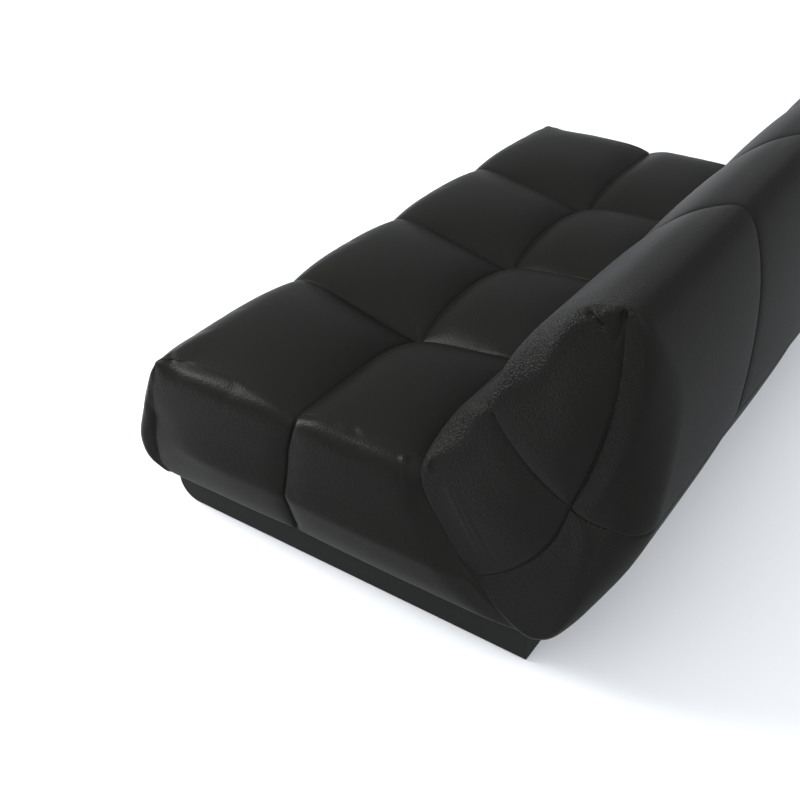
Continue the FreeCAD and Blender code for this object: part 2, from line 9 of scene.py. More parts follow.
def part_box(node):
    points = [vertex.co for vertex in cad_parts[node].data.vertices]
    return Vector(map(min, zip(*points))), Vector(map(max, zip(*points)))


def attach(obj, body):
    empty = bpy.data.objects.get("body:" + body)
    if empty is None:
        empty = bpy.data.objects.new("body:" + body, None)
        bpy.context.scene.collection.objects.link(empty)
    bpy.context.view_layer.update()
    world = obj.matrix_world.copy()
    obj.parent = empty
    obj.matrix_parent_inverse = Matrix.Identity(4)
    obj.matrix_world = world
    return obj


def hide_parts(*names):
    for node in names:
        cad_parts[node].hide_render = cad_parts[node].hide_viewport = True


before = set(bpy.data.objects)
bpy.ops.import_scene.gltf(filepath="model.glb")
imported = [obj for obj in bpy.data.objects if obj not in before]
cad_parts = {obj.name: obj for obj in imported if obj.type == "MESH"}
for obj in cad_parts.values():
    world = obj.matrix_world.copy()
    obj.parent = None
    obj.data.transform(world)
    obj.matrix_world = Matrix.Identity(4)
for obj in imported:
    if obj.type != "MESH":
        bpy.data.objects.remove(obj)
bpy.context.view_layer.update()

# Places taken from the solids
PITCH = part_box("seat_panel_front_3")[1].x
ROW_SEAM_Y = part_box("seat_panel_rear_3")[0].y
COLUMN_SEAMS = (-PITCH, 0.0, PITCH)

# Directions
X_AXIS = (1.0, 0.0, 0.0)
Y_AXIS = (0.0, 1.0, 0.0)
Z_AXIS = (0.0, 0.0, 1.0)
MIRROR = np.array([-1.0, 1.0, 1.0])

# Seat: sections from the base of the front over the brow to the row seam, and from there into the junction
SEAT_EDGE_X = 0.800
BROW_KNOT = 5
ROW_KNOT = 9
JUNCTION_KNOT = 4
GUSSET_KNOT = 5
SEAT_OUTER = {
    "crown": [(-0.366, 0.106), (-0.408, 0.138), (-0.424, 0.195), (-0.414, 0.280), (-0.384, 0.350),
              (-0.334, 0.395), (-0.270, 0.411), (-0.167, 0.416), (-0.060, 0.400), (0.0, 0.374)],
    "seam": [(-0.360, 0.108), (-0.394, 0.142), (-0.407, 0.195), (-0.400, 0.270), (-0.372, 0.336),
             (-0.326, 0.382), (-0.262, 0.386), (-0.167, 0.364), (-0.072, 0.340), (0.0, 0.326)],
    "end": [(-0.348, 0.102), (-0.370, 0.125), (-0.373, 0.165), (-0.366, 0.230), (-0.355, 0.315),
            (-0.335, 0.379), (-0.270, 0.385), (-0.150, 0.387), (-0.050, 0.384), (0.0, 0.374)],
}
SEAT_INNER = {
    "crown": [(0.0, 0.374), (0.050, 0.402), (0.130, 0.411), (0.210, 0.404), (0.266, 0.380), (0.282, 0.335)],
    "seam": [(0.0, 0.326), (0.060, 0.338), (0.140, 0.352), (0.215, 0.364), (0.266, 0.362), (0.282, 0.330)],
    "end": [(0.0, 0.374), (0.040, 0.384), (0.120, 0.386), (0.205, 0.386), (0.268, 0.380), (0.286, 0.372)],
}
SEAT_PILLOW = 2.4
SEAT_END_FROM = 0.45
SEAT_END_FALL = 2.8
FACE_END_FALL = 9.0
FACE_FALL_BY = 0.25

# Seat end: upright profile as (x, height), and the places of the corner seam below the top edge
SEAT_END = [(0.800, 0.382), (0.819, 0.377), (0.830, 0.362), (0.8335, 0.320), (0.838, 0.250), (0.847, 0.196)]
SEAT_SOFT = [(0.800, 0.382), (0.819, 0.377), (0.830, 0.362), (0.8335, 0.320), (0.8360, 0.270),
             (0.8375, 0.220), (0.8375, 0.180), (0.8360, 0.148), (0.829, 0.102)]
SOFT_REACH = 0.09
SEAT_TUCK = [(0.847, 0.196), (0.843, 0.180), (0.836, 0.148), (0.826, 0.108)]
CORNER_X = [(0.814, 0.379), (0.826, 0.369), (0.831, 0.345), (0.833, 0.290), (0.834, 0.240), (0.837, 0.195),
            (0.836, 0.165), (0.834, 0.145), (0.829, 0.102)]
CORNER_FLARE = 0.014
CORNER_FLARE_REACH = 0.045
CORNER_REACH = 0.055
CORNER_FALL = 1.5
FLARE_WIDTH = 0.06
ROW_SEAM_END = [(0.0, 0.362), (-0.014, 0.301), (-0.022, 0.196), (-0.012, 0.110)]
SEAT_END_SWELL = 0.004
NEAR_BACK_FROM = 0.80
NEAR_BACK_PULL = 0.006
GUSSET_PULL = 0.0072
SEAT_LAP = 0.010
EDGE_ROLL = 0.10
EDGE_INSET = 0.004
EDGE_FADE_Z = (0.27, 0.37)
BROW_REACH = 0.06
FLAP_START = 0.700
FLAP_LIP = 0.003
FLAP_LIP_LEAST = 0.001
FLAP_LIP_TAPER = 0.8
FLAP_TURNS = (0.012, 0.014)
FLAP_TURN_LEAST = 0.05
FLAP_TURN_BY = 0.3
FLAP_INSETS = [(0.072, 0.12), (0.034, 0.45), (0.010, 0.88)]
FLAP_EDGE = [(-0.335, 0.380), (-0.358, 0.358), (-0.376, 0.324), (-0.404, 0.250), (-0.427, 0.164),
             (-0.410, 0.116), (-0.356, 0.097)]
CREASE_HEIGHTS = (0.11, 0.15, 0.24, 0.31)
EAR = (0.010, -0.011, -0.003)
EAR_REACH = 0.016

# Line where the back rests on the seat, from the junction down to the heel
SLANT = [(0.280, 0.381), (0.284, 0.345), (0.298, 0.318), (0.327, 0.276), (0.370, 0.213),
         (0.412, 0.172), (0.455, 0.134), (0.498, 0.112), (0.515, 0.110)]
SLANT_SEAM_SHARE = 0.60

# Back: lobes from the junction over the crease and the ridge to the rear seam and the heel
BACK_LOWER = [(0.278, 0.376), (0.293, 0.436), (0.322, 0.493), (0.362, 0.537), (0.402, 0.560)]
BACK_UPPER = [(0.402, 0.560), (0.422, 0.638), (0.471, 0.712), (0.535, 0.765), (0.580, 0.786),
              (0.606, 0.793), (0.620, 0.791), (0.638, 0.776), (0.657, 0.735), (0.673, 0.672),
              (0.682, 0.600), (0.685, 0.500), (0.682, 0.405)]
RIDGE_KNOT = 5
BACK_FOOT = [(0.682, 0.405), (0.664, 0.346), (0.640, 0.284), (0.610, 0.222), (0.577, 0.164), (0.545, 0.124),
             (0.515, 0.110)]
BACK_CENTRE = np.array([0.557, 0.426])
BACK_END_X = 0.834
BACK_INNER_X = 0.750
BACK_PILLOW = 2.6
CAP_SWELLS = {"upper": 0.010, "rear": 0.003, "under": 0.003, "lower": 0.010}
CAP_FULLNESS = 2.4
CAP_RINGS = 30
CAP_DIMPLE = 0.002
CAP_SEAM_BY = 0.6
POLE_INSET = 0.005
LEAD_PARTS = (0.25, 0.50, 0.75)
UNDER_SHARE = 0.45
RIDGE_LEAD = 0.07
SEAM_BOWS = [0.016, -0.022, -0.006, 0.033, 0.010, 0.024]
EDGE_RADII = [0.012, 0.062, 0.016, 0.072, 0.022, 0.009, 0.084, 0.058, 0.060, 0.012, 0.010]
EDGE_PINCHES = [0.004, 0.012, 0.005, 0.008, 0.006, 0.004, 0.005, 0.004, 0.006, 0.0, 0.0]
ROUND_STEPS = 10

# Floor, light and camera
FLOOR_REACH = 200.0
FLOOR_COLOUR = (0.468, 0.474, 0.484, 1)
FLOOR_ROUGHNESS = 0.9
DOME_COLOUR = (0.95, 0.97, 1.0, 1)
DOME_HORIZON = 0.36
DOME_ZENITH = 2.60
DOME_POWER = 1.6
SIDE_GLOW = 3.4
SIDE_FROM = (0.75, 0.66, 0.0)
KEY_POWER = 320.0
KEY_FROM = (0.42, -0.68, 0.60)
KEY_SIZE = 2.2
FILL_POWER = 290.0
FILL_FROM = (0.25, -0.94, 0.24)
FILL_SIZE = 2.0
LAMP_DISTANCE = 5.5
LAMP_TARGET = (0.0, 0.0, 0.3)
CAMERA_LENS = 47.33
CAMERA_SENSOR = 36.0
CAMERA_TOWARDS = (-0.6875, -0.4673, -0.5558)
CAMERA_PLACE = (2.0189, 1.0486, 1.4685)

# Wrinkles: a line from one (x, depth, height) to another, its width, and how far in or, below 0, out it goes
SEAT_WRINKLES = [
    ((0.8020, -0.3320, 0.386), (0.8120, -0.3160, 0.385), 0.0080, 0.0035),
    ((0.8170, 0.2400, 0.382), (0.8245, 0.2470, 0.366), 0.0060, -0.0060),
    ((0.8265, 0.2500, 0.356), (0.8280, 0.2545, 0.338), 0.0055, -0.0055),
]
BACK_WRINKLES = [
    ((0.8270, 0.5500, 0.769), (0.8345, 0.5750, 0.757), 0.0040, 0.0070),
    ((0.8300, 0.5620, 0.773), (0.8345, 0.5800, 0.763), 0.0030, -0.0020),
    ((0.8320, 0.6035, 0.785), (0.8360, 0.5980, 0.738), 0.0034, 0.0050),
    ((0.8310, 0.5790, 0.782), (0.8320, 0.5930, 0.786), 0.0060, -0.0030),
    ((0.832, 0.300, 0.390), (0.836, 0.300, 0.424), 0.0045, -0.0030),
    ((0.838, 0.342, 0.371), (0.842, 0.422, 0.233), 0.0050, -0.0014),
    ((0.838, 0.355, 0.376), (0.842, 0.436, 0.236), 0.0050, -0.0010),
]
CROSSING_FOLDS = [(PITCH, -0.062, -0.096), (0.0, -0.056, -0.078), (-PITCH, -0.050, -0.086)]
CROSSING_FOLD_FROM = 0.10
CROSSING_FOLD_RISES = (0.006, 0.046)
CROSSING_FOLD_WIDTH = 0.008
CROSSING_FOLD_DEPTH = 0.0022

# Cloth
CLOTH_PRESSURE = 4.0
CLOTH_SHRINK = -0.001
CLOTH_FRAMES = 20
CLOTH_CAP = 0.003
CLOTH_MASS = 0.4
CLOTH_QUALITY = 5
CLOTH_STIFFNESS = 30.0
CLOTH_BENDING = 2.0
HELD_WIDTH = 0.006
HELD_LEVELS = 10

# Leather
LEATHER_COLOUR = (0.0042, 0.0041, 0.0036, 1)
LEATHER_SPECULAR = 0.038
GRAIN_CELLS = 320.0
GRAIN_FOLDS = 300.0
GRAIN_DETAIL = 4.0
GRAIN_DEPTH = 0.0026
GRAIN_TOP = 0.10
GRAIN_END = 0.84
GRAIN_SEAT_SHARE = 0.12
GRAIN_FLAT_SHARE = 0.90
GRAIN_LOW_SHARE = 0.40
GRAIN_TOWARDS = (0.70, -0.35, 0.62)
GRAIN_TURNED = (0.50, 0.98)
GRAIN_OUTER_X = (0.72, 0.80)
GRAIN_BACK_Y = (0.10, 0.18)
GRAIN_FLAT = (0.93, 0.99)
GRAIN_RAISED_Z = (0.24, 0.46)
GRAIN_STRETCH = (1.0, 0.7, 1.25)
SHEEN_ROUGHNESS = 0.40
REAR_ROUGHNESS = 0.54
END_GLOSS = 0.07
DULL_TURN = (0.10, 0.60)
GLOSS_TURN = (0.20, 0.60)

# Other finishes
RAMP_PLACES = (0.3, 0.7)
RELIEF_DEPTH = 0.001
WEAVE_DISTORTION = 0.4

# Seams and creases
GROOVE_DEPTH = 0.0030
GROOVE_WIDTH = 0.0024
SEAT_SHOULDER = 0.0015
END_SEAM_EXTRA = 0.0055
END_SEAM_X = (0.805, 0.830)
END_SEAM_DEPTH = (-0.30, -0.20)
BACK_SHOULDER = 0.0015
SHOULDER_WIDTH = 0.014
SHOULDER_FALL = 1.5
FAINT_GAP = 0.03
FAR = 1.0
FINE_STEPS = (0.0016, 0.0036, 0.0065, 0.0105, 0.0160, 0.0230)
RIDGE_STEPS = (*FINE_STEPS, 0.029, 0.034, 0.039, 0.044, 0.049, 0.054, 0.059, 0.064, 0.070)
GRID_STEP = 0.011
CURVE_SAMPLES = 600
LENGTH_SAMPLES = 200


def running_length(points):
    """Length along a line of points, at each of them."""
    steps = np.linalg.norm(np.diff(points, axis=0), axis=1)
    return np.concatenate([[0.0], np.cumsum(steps)])


def spline(knots, first, last, shares):
    """Points at shares of the length of a smooth curve through the knots, between two of them."""
    knots = np.array(knots, float)
    steps = np.sqrt(np.linalg.norm(np.diff(knots, axis=0), axis=1))
    times = np.concatenate([[0.0], np.cumsum(steps)])
    slopes = np.gradient(knots, times, axis=0)
    fine = np.linspace(times[first], times[last], CURVE_SAMPLES)
    index = np.clip(np.searchsorted(times, fine, side="right") - 1, 0, len(times) - 2)
    width = (times[index + 1] - times[index])[:, None]
    t = (fine - times[index])[:, None] / width
    curve = ((2 * t ** 3 - 3 * t ** 2 + 1) * knots[index]
             + (t ** 3 - 2 * t ** 2 + t) * slopes[index] * width
             + (3 * t ** 2 - 2 * t ** 3) * knots[index + 1]
             + (t ** 3 - t ** 2) * slopes[index + 1] * width)
    lengths = running_length(curve)
    places = np.asarray(shares) * lengths[-1]
    return np.stack([np.interp(places, lengths, values) for values in curve.T], axis=1)


def curve_length(knots, first, last):
    points = spline(knots, first, last, np.linspace(0, 1, LENGTH_SAMPLES))
    return float(running_length(points)[-1])


def stations(length, seam_first, seam_last, tail_steps=FINE_STEPS):
    """Shares along a length, close together beside a seam at either end."""
    head = [0.0, *FINE_STEPS] if seam_first else [0.0]
    tail = [length - step for step in reversed(tail_steps)] + [length] if seam_last else [length]
    count = max(1, round((tail[0] - head[-1]) / GRID_STEP))
    middle = np.linspace(head[-1], tail[0], count + 1)[1:-1]
    return np.array([*head, *middle, *tail]) / length


def joined(stretches):
    """Shares of several stretches, one after the other, without the doubled ends."""
    return np.concatenate([stretches[0]] + [stretch[1:] for stretch in stretches[1:]])


def smooth(value, low, high):
    t = np.clip((value - low) / (high - low), 0, 1)
    return t * t * (3 - 2 * t)


def groove(distance, shoulder):
    """How far leather is pulled in at a distance from a seam."""
    return (GROOVE_DEPTH * np.exp(-distance / GROOVE_WIDTH)
            + shoulder * np.exp(-(distance / SHOULDER_WIDTH) ** SHOULDER_FALL))


def seam_distance(x):
    """Distance from the nearest column seam."""
    return np.min([np.abs(x - seam) for seam in COLUMN_SEAMS], axis=0)


def press(points, wrinkles):
    """How far wrinkles move each point in."""
    total = np.zeros(len(points))
    for start, end, width, depth in wrinkles:
        start = np.array(start)
        along = np.array(end) - start
        share = np.clip((points - start) @ along / (along @ along), 0, 1)
        away = np.linalg.norm(points - start - share[:, None] * along, axis=1)
        total += depth * np.exp(-(away / width) ** 2)
    return total


def both_ends(wrinkles):
    """The same wrinkles at both ends of the sofa."""
    mirrored = [((-a[0], *a[1:]), (-b[0], *b[1:]), width, depth) for a, b, width, depth in wrinkles]
    return wrinkles + mirrored


def crossing_wrinkles():
    """Short folds in the front row that run into the crossings of the seams."""
    row_height = SEAT_OUTER["seam"][ROW_KNOT][1]
    low, high = CROSSING_FOLD_RISES
    near = CROSSING_FOLD_FROM
    wrinkles = []
    for seam, across, forward in CROSSING_FOLDS:
        start = (seam + near * across, near * forward, row_height + low)
        end = (seam + across, forward, row_height + high)
        wrinkles.append((start, end, CROSSING_FOLD_WIDTH, CROSSING_FOLD_DEPTH))
    return wrinkles


def column_places(end, fine_ends):
    """Places along X, close together at the column seams, out to both ends."""
    marks = [-end, *COLUMN_SEAMS, end]
    seams = [fine_ends, True, True, True, fine_ends]
    stretches = []
    for low, high, first, last in zip(marks, marks[1:], seams, seams[1:]):
        stretches.append(low + (high - low) * stations(high - low, first, last))
    return joined(stretches)


def make_mesh(name, points, faces):
    mesh = bpy.data.meshes.new(name)
    mesh.from_pydata(points.tolist(), [], faces)
    mesh.update()
    piece = bpy.data.objects.new(name, mesh)
    bpy.context.scene.collection.objects.link(piece)
    return piece


def grid_faces(ids, flip):
    """Quads between neighbouring rows of vertex numbers."""
    a = ids[:-1, :-1].ravel()
    b = ids[1:, :-1].ravel()
    c = ids[1:, 1:].ravel()
    d = ids[:-1, 1:].ravel()
    quads = np.stack([a, d, c, b] if flip else [a, b, c, d], axis=1)
    return quads.tolist()


def normals_of(piece):
    values = np.zeros(len(piece.data.vertices) * 3)
    piece.data.vertex_normals.foreach_get("vector", values)
    return values.reshape(-1, 3)


def points_of(piece):
    values = np.zeros(len(piece.data.vertices) * 3)
    piece.data.vertices.foreach_get("co", values)
    return values.reshape(-1, 3)


def set_points(piece, points):
    piece.data.vertices.foreach_set("co", points.ravel())
    piece.data.update()


def push(piece, distances):
    """Moves each vertex out along its normal."""
    set_points(piece, points_of(piece) + normals_of(piece) * distances[:, None])


def wrinkle(piece, wrinkles):
    """Presses wrinkles into a piece."""
    places = points_of(piece) - np.array([0.0, ROW_SEAM_Y, 0.0])
    push(piece, -press(places, wrinkles))


def refine(piece):
    """Each face split in four, rounded as it goes."""
    finer = piece.modifiers.new("finer", "SUBSURF")
    finer.levels = 1
    finer.render_levels = 1
    shaped = piece.evaluated_get(bpy.context.evaluated_depsgraph_get())
    mesh = bpy.data.meshes.new_from_object(shaped)
    piece.modifiers.remove(finer)
    coarse = piece.data
    piece.data = mesh
    bpy.data.meshes.remove(coarse)
    mesh.name = piece.name


def inflate(piece, held):
    """Cloth under pressure between its seams, kept near where it started and then fixed as plain mesh."""
    start = points_of(piece)
    pins = piece.vertex_groups.new(name="held")
    for level in range(1, HELD_LEVELS + 1):
        members = np.flatnonzero(np.round(held * HELD_LEVELS) == level)
        pins.add(members.tolist(), level / HELD_LEVELS, "REPLACE")
    cloth = piece.modifiers.new("cloth", "CLOTH")
    cloth.settings.vertex_group_mass = pins.name
    cloth.settings.effector_weights.gravity = 0.0
    cloth.settings.use_pressure = True
    cloth.settings.uniform_pressure_force = CLOTH_PRESSURE
    cloth.settings.shrink_min = CLOTH_SHRINK
    cloth.settings.mass = CLOTH_MASS
    cloth.settings.quality = CLOTH_QUALITY
    cloth.settings.tension_stiffness = CLOTH_STIFFNESS
    cloth.settings.compression_stiffness = CLOTH_STIFFNESS
    cloth.settings.bending_stiffness = CLOTH_BENDING
    cloth.collision_settings.use_collision = False
    cloth.point_cache.frame_end = CLOTH_FRAMES
    scene = bpy.context.scene
    for step in range(1, CLOTH_FRAMES + 1):
        scene.frame_set(step)
    shaped = piece.evaluated_get(bpy.context.evaluated_depsgraph_get())
    move = points_of(shaped) - start
    piece.modifiers.remove(cloth)
    piece.vertex_groups.remove(pins)
    scene.frame_set(1)
    size = np.linalg.norm(move, axis=1)
    move *= (CLOTH_CAP * np.tanh(size / CLOTH_CAP) / np.maximum(size, 1e-9))[:, None]
    set_points(piece, start + move)


# Seat cover: a box of grids whose positions come from its sections
def seat_weights(x, end_fall):
    """Shares of the crown, seam and end sections at a place along X."""
    column = np.clip((np.abs(x) % PITCH) / PITCH, 0, 1)
    seam = np.abs(2 * column - 1) ** SEAT_PILLOW
    outer = np.abs(x) > PITCH
    across = (np.abs(x) - PITCH) / (SEAT_EDGE_X - PITCH)
    seam_outer = np.clip(1 - 2 * across, 0, 1) ** SEAT_PILLOW
    end_outer = np.clip((across - SEAT_END_FROM) / (1 - SEAT_END_FROM), 0, 1) ** end_fall
    end = np.where(outer, end_outer, 0.0)
    seam = np.where(outer, seam_outer, seam)
    return 1 - seam - end, seam, end


def seat_sections(top_front, top_rear, face):
    """The sections' points along the top and down the front."""
    tops = {}
    faces = {}
    for name, outer in SEAT_OUTER.items():
        front = spline(outer, BROW_KNOT, ROW_KNOT, top_front)
        rear = spline(SEAT_INNER[name], 0, GUSSET_KNOT, top_rear)
        tops[name] = np.concatenate([front, rear[1:]])
        faces[name] = spline(outer, 0, BROW_KNOT, 1 - face)
    return tops, faces


def blend_sections(sections, weights):
    """The sections mixed by their shares."""
    crown, seam, end = weights
    return (crown[:, None, None] * sections["crown"] + seam[:, None, None] * sections["seam"]
            + end[:, None, None] * sections["end"])


def heights_to(line, heights):
    """First numbers of a line of points, at given heights."""
    line = np.array(line)
    first, rising = line[np.argsort(line[:, 1], kind="stable")].T
    return np.interp(heights, rising, first)


def flap_path(belly, edge, corner, lip, turn_in):
    """Knots from the belly of the front round the corner to the corner seam."""
    path = [(FLAP_START, *belly)]
    for inset, part in FLAP_INSETS:
        path.append((corner[0] - inset, *(belly + (edge - belly) * part)))
    before, after = FLAP_TURNS
    path.append((corner[0] + lip, edge[0] + before * turn_in, edge[1]))
    path.append((corner[0] + lip * FLAP_LIP_TAPER, corner[1] - after * turn_in, corner[2]))
    path.append(tuple(corner))
    return path


def seat_front(xs, faces, face, corner):
    """Front face; its outer columns turn round the corner to the corner seam."""
    front = np.zeros((len(xs), len(face), 3))
    turn = np.clip((np.abs(xs) - FLAP_START) / (SEAT_EDGE_X - FLAP_START), 0, 1)
    edge = spline(FLAP_EDGE, 0, len(FLAP_EDGE) - 1, face)
    outside = turn > 0
    for k, share in enumerate(face):
        fall = SEAT_END_FALL + (FACE_END_FALL - SEAT_END_FALL) * smooth(share, 0.0, FACE_FALL_BY)
        places = {name: values[k:k + 1] for name, values in faces.items()}
        front[:, k, 1:] = blend_sections(places, seat_weights(xs, fall))[:, 0]
        front[:, k, 0] = np.abs(xs)
        belly = blend_sections(places, seat_weights(np.array([FLAP_START]), fall))[0, 0]
        lip = FLAP_LIP_LEAST + FLAP_LIP * math.sin(math.pi * share)
        turn_in = FLAP_TURN_LEAST + (1 - FLAP_TURN_LEAST) * smooth(share, 0.0, FLAP_TURN_BY)
        path = flap_path(belly, edge[k], corner[k], lip, turn_in)
        front[outside, k] = spline(path, 0, len(path) - 1, turn[outside])
        front[:, k, 0] *= np.sign(xs)
    return front


def corner_flare(edge):
    return CORNER_FLARE * np.exp(-((edge[:, 0] - edge[0, 0]) / CORNER_FLARE_REACH) ** 2)


def seat_end(edge, row, corner, profile, below):
    """End face between the corner seam, the top edge and the slant."""
    heights = profile[:, 1]
    row_depth = heights_to(ROW_SEAM_END, heights)
    slant_depth = heights_to(SLANT, heights)
    soft = heights_to(SEAT_SOFT, heights)
    junction = SEAT_INNER["end"][JUNCTION_KNOT][0]
    gusset = np.clip((edge[:, 0] - junction) / (edge[-1, 0] - junction), 0, 1)
    fade = smooth(heights, *EDGE_FADE_Z)
    flare = corner_flare(edge)
    end = np.zeros((len(edge), len(heights), 3))
    for j, (depth, height) in enumerate(edge):
        if j <= row:
            share = 1 - depth / edge[0, 0]
            place = corner[:, 1] * (1 - share) + row_depth * share
            near_back = 0.0
        else:
            share = min(depth / junction, 1.0)
            place = row_depth * (1 - share) + slant_depth * share + SEAT_LAP * gusset[j]
            near_back = smooth(share, NEAR_BACK_FROM, 1.0)
        swell = SEAT_END_SWELL * (1 - abs(2 * share - 1) ** 2) * below
        pull = NEAR_BACK_PULL * near_back + GUSSET_PULL * gusset[j] ** 2
        near_corner = math.exp(-((depth - edge[0, 0]) / SOFT_REACH) ** 2)
        outline = profile[:, 0] * (1 - near_corner) + soft * near_corner
        end[j, :, 0] = outline + swell - pull * below
        end[j, :, 0] = np.maximum(end[j, :, 0], SEAT_EDGE_X + flare[j] - EDGE_INSET * below)
        end[j, :, 1] = depth * (1 - below) + place * below
        end[j, :, 2] = heights + (height - SEAT_END[0][1]) * fade
    gap = corner - end[0]
    reach = np.exp(-((edge[:, 0] - edge[0, 0]) / CORNER_REACH) ** CORNER_FALL)
    return end + gap[None] * reach[:, None, None]


def seat_stations():
    """Shares down the front and the ends, and the end's profile at them."""
    upper_last = len(SEAT_END) - 1
    tuck_last = len(SEAT_TUCK) - 1
    upper_length = curve_length(SEAT_END, 0, upper_last)
    tuck_length = curve_length(SEAT_TUCK, 0, tuck_last)
    upper = stations(upper_length, True, False)
    tuck = stations(tuck_length, False, False)
    face = joined([upper * upper_length, upper_length + tuck * tuck_length]) / (upper_length + tuck_length)
    profile = joined([spline(SEAT_END, 0, upper_last, upper), spline(SEAT_TUCK, 0, tuck_last, tuck)])
    return face, profile


def seat_top(xs, tops):
    """Top, drawn out sideways at the front corners."""
    top = np.zeros((len(xs), len(tops["crown"]), 3))
    top[:, :, 0] = xs[:, None]
    top[:, :, 1:] = blend_sections(tops, seat_weights(xs, SEAT_END_FALL))
    outermost = smooth(np.abs(xs), SEAT_EDGE_X - FLARE_WIDTH, SEAT_EDGE_X) * np.sign(xs)
    top[:, :, 0] += outermost[:, None] * corner_flare(tops["end"])[None]
    return top


def seat_hidden(xs, top, front, end, face):
    """Rear along the slant and base, both out of sight."""
    rear = np.zeros((len(xs), len(face), 3))
    bottom = np.zeros(top.shape)
    spread = xs / SEAT_EDGE_X
    for k, share in enumerate(face):
        rear[:, k, 0] = spread * end[-1, k, 0]
        rear[:, k, 1:] = top[:, -1, 1:] * (1 - share) + end[-1, -1, 1:] * share
    base = end[:, -1, 1]
    for j, share in enumerate((base - base[0]) / (base[-1] - base[0])):
        bottom[:, j, 0] = spread * end[j, -1, 0]
        bottom[:, j, 1:] = front[:, -1, 1:] * (1 - share) + rear[:, -1, 1:] * share
    return rear, bottom


class Shell:
    """Grids that share the vertices along their common edges."""

    def __init__(self):
        self.numbers = {}
        self.points = []
        self.gaps = []
        self.quads = []

    def number(self, key, point, gap):
        if key not in self.numbers:
            self.numbers[key] = len(self.points)
            self.points.append(point)
            self.gaps.append(gap)
        return self.numbers[key]

    def add(self, places, keys, gaps, flip):
        """Adds a grid; places with the same key are one vertex."""
        ids = np.zeros(gaps.shape, int)
        for a, b in np.ndindex(*gaps.shape):
            ids[a, b] = self.number(tuple(keys[a, b]), places[a, b], gaps[a, b])
        self.quads += grid_faces(ids, flip)


def box_keys(column, row, step):
    """Keys of one side of a box: its columns, rows and steps down."""
    return np.stack(np.broadcast_arrays(column, row, step), axis=-1)


def seat_shell(sides, xs, length, row, corner_heights):
    """The sides as one shell, with the distance of each vertex from the nearest seam."""
    top, front, end, rear, bottom = sides
    columns = np.arange(len(xs))[:, None]
    rows = np.arange(len(length))
    steps = np.arange(len(corner_heights))
    column_gap = seam_distance(xs)[:, None]
    row_gap = np.abs(length - length[row])
    low, low_full, high_full, high = CREASE_HEIGHTS
    crease = smooth(corner_heights, low, low_full) * (1 - smooth(corner_heights, high_full, high))
    faint = FAINT_GAP * (1 - crease)
    front_gap = np.minimum(column_gap, SEAT_EDGE_X - np.abs(xs)[:, None] + faint)
    end_gap = np.minimum(row_gap[:, None], length[:, None] + faint)
    shell = Shell()
    shell.add(top, box_keys(columns, rows, 0), np.minimum(column_gap, row_gap), False)
    shell.add(front, box_keys(columns, 0, steps), front_gap, True)
    shell.add(end, box_keys(len(xs) - 1, rows[:, None], steps), end_gap, True)
    shell.add(end * MIRROR, box_keys(0, rows[:, None], steps), end_gap, False)
    shell.add(rear, box_keys(columns, rows[-1], steps), np.full(rear.shape[:2], FAR), False)
    shell.add(bottom, box_keys(columns, rows, steps[-1]), np.full(bottom.shape[:2], FAR), True)
    return shell


def pull_ears(points):
    """Draws out the ear at each front corner, and says how near each point is to one."""
    ear = np.array([SEAT_EDGE_X + CORNER_FLARE, *SEAT_OUTER["end"][BROW_KNOT]])
    at_ear = np.zeros(len(points))
    for hand in (np.ones(3), MIRROR):
        away = np.linalg.norm(points - ear * hand, axis=1)
        near = np.exp(-(away / EAR_REACH) ** 2)
        points += near[:, None] * (np.array(EAR) * hand)
        at_ear += near
    return at_ear


def build_seat():
    """The seat's cover, and how firmly each vertex is held while it is inflated."""
    face, profile = seat_stations()
    top_front = stations(curve_length(SEAT_OUTER["crown"], BROW_KNOT, ROW_KNOT), True, True)
    top_rear = stations(curve_length(SEAT_INNER["crown"], 0, GUSSET_KNOT), True, True)
    row = len(top_front) - 1
    xs = column_places(SEAT_EDGE_X, True)
    tops, faces = seat_sections(top_front, top_rear, face)
    corner = np.column_stack([heights_to(CORNER_X, faces["end"][:, 1]), faces["end"]])
    front = seat_front(xs, faces, face, corner)
    end = seat_end(tops["end"], row, corner, profile, smooth(face, 0.0, EDGE_ROLL))
    top = seat_top(xs, tops)
    length = running_length(tops["crown"])
    follow = np.exp(-(length / BROW_REACH) ** 2)
    top += (front[:, 0] - top[:, 0])[:, None] * follow[None, :, None]
    rear, bottom = seat_hidden(xs, top, front, end, face)
    shell = seat_shell((top, front, end, rear, bottom), xs, length, row, corner[:, 2])
    points = np.array(shell.points)
    gaps = np.array(shell.gaps)
    at_ear = pull_ears(points)
    at_end = smooth(np.abs(points[:, 0]), *END_SEAM_X) * smooth(points[:, 1], *END_SEAM_DEPTH)
    points[:, 1] += ROW_SEAM_Y
    piece = make_mesh("seat_cover", points, shell.quads)
    deeper = END_SEAM_EXTRA * at_end * np.exp(-gaps / GROOVE_WIDTH)
    push(piece, -groove(gaps, SEAT_SHOULDER) - deeper)
    held = np.where(gaps == FAR, 1.0, np.exp(-(gaps / HELD_WIDTH) ** 2))
    return piece, np.maximum(held, at_ear)


